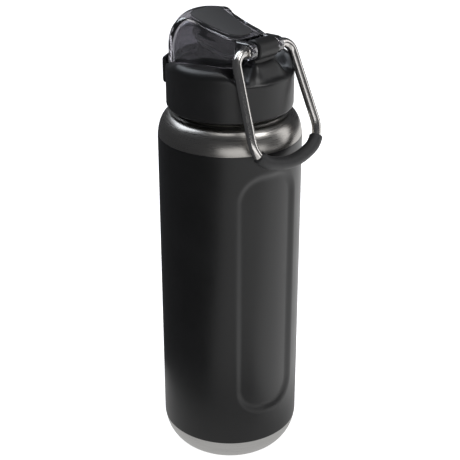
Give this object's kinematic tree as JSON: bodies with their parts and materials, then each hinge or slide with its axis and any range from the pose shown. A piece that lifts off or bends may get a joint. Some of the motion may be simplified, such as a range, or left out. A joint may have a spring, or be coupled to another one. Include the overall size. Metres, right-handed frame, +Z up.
{
  "type": "insulated water bottle",
  "caption": "Vacuum-insulated steel bottle with a screw cap, a flip cover over a drinking spout, a push latch and a swinging wire carry loop with a rubber grip.",
  "frame": {"origin": "centre of the flat resting face under the base", "axes": "+Z up along the bottle; the hinge of the cover and loop is on the +Y side and runs along X; the latch button faces -Y"},
  "size_m": [0.08, 0.0908, 0.2647],
  "materials": {
    "outer_shell": "black powder coat; bare brushed steel on the shoulder",
    "base_cup": "brushed",
    "vacuum_bottom": "plain",
    "vacuum_seal": "solder bead",
    "vacuum_getter": "sintered",
    "inner_liner": "electropolished",
    "cap_gasket": "translucent silicone",
    "cap_shell": "fine matte",
    "cap_thread_ring": "smooth",
    "stopper_cup": "smooth",
    "cap_insulation": "closed-cell foam",
    "spout": "smooth",
    "spout_seal": "silicone",
    "vent_valve": "silicone",
    "torsion_spring": "drawn wire",
    "cover": "smoky translucent",
    "cover_pad": "soft matte",
    "seal_carrier": "smooth",
    "cover_seal": "silicone",
    "carry_loop": "satin drawn wire",
    "grip_sleeve": "matte",
    "loop_washer_left": "plain",
    "loop_washer_right": "plain",
    "latch_button": "fine matte",
    "latch_spring": "strip"
  },
  "bodies": {
    "bottle": {"outer_shell": "outer_shell", "base_cup": "base_cup", "vacuum_bottom": "vacuum_bottom", "vacuum_seal": "vacuum_seal", "vacuum_getter": "vacuum_getter", "inner_liner": "inner_liner"},
    "cap_seal": {"cap_gasket": "cap_gasket"},
    "cap": {"cap_shell": "cap_shell", "cap_thread_ring": "cap_thread_ring", "stopper_cup": "stopper_cup", "cap_insulation": "cap_insulation", "spout": "spout", "spout_seal": "spout_seal", "vent_valve": "vent_valve", "torsion_spring": "torsion_spring", "latch_spring": "latch_spring"},
    "cover_lid": {"cover": "cover", "cover_pad": "cover_pad", "seal_carrier": "seal_carrier", "cover_seal": "cover_seal"},
    "loop": {"carry_loop": "carry_loop", "grip_sleeve": "grip_sleeve", "loop_washer_left": "loop_washer_left", "loop_washer_right": "loop_washer_right"},
    "latch": {"latch_button": "latch_button"}
  },
  "joints": [
    {"name": "cap_lift", "type": "slide", "parent": "bottle", "child": "cap_seal", "axis": [0, 0, 1], "range_m": [0, 0.0161]},
    {"name": "cap_turn", "type": "hinge", "parent": "cap_seal", "child": "cap", "pos_m": [0, 0, 0.2238], "axis": [0, 0, 1], "range_deg": [0, 720]},
    {"name": "cover_flip", "type": "hinge", "parent": "cap", "child": "cover_lid", "pos_m": [0, 0.0246, 0.2525], "axis": [-1, 0, 0], "range_deg": [0, 150]},
    {"name": "loop_swing", "type": "hinge", "parent": "cap", "child": "loop", "pos_m": [0, 0.0246, 0.2525], "axis": [1, 0, 0], "range_deg": [0, 158]},
    {"name": "latch_press", "type": "slide", "parent": "cap", "child": "latch", "axis": [0, 1, 0], "range_m": [0, 0.0014], "stiffness_N_per_m": 600}
  ],
  "couplings": [
    {"joint": "cap_lift", "follows": "cap_turn", "m_per_rad": 0.0012732}
  ]
}
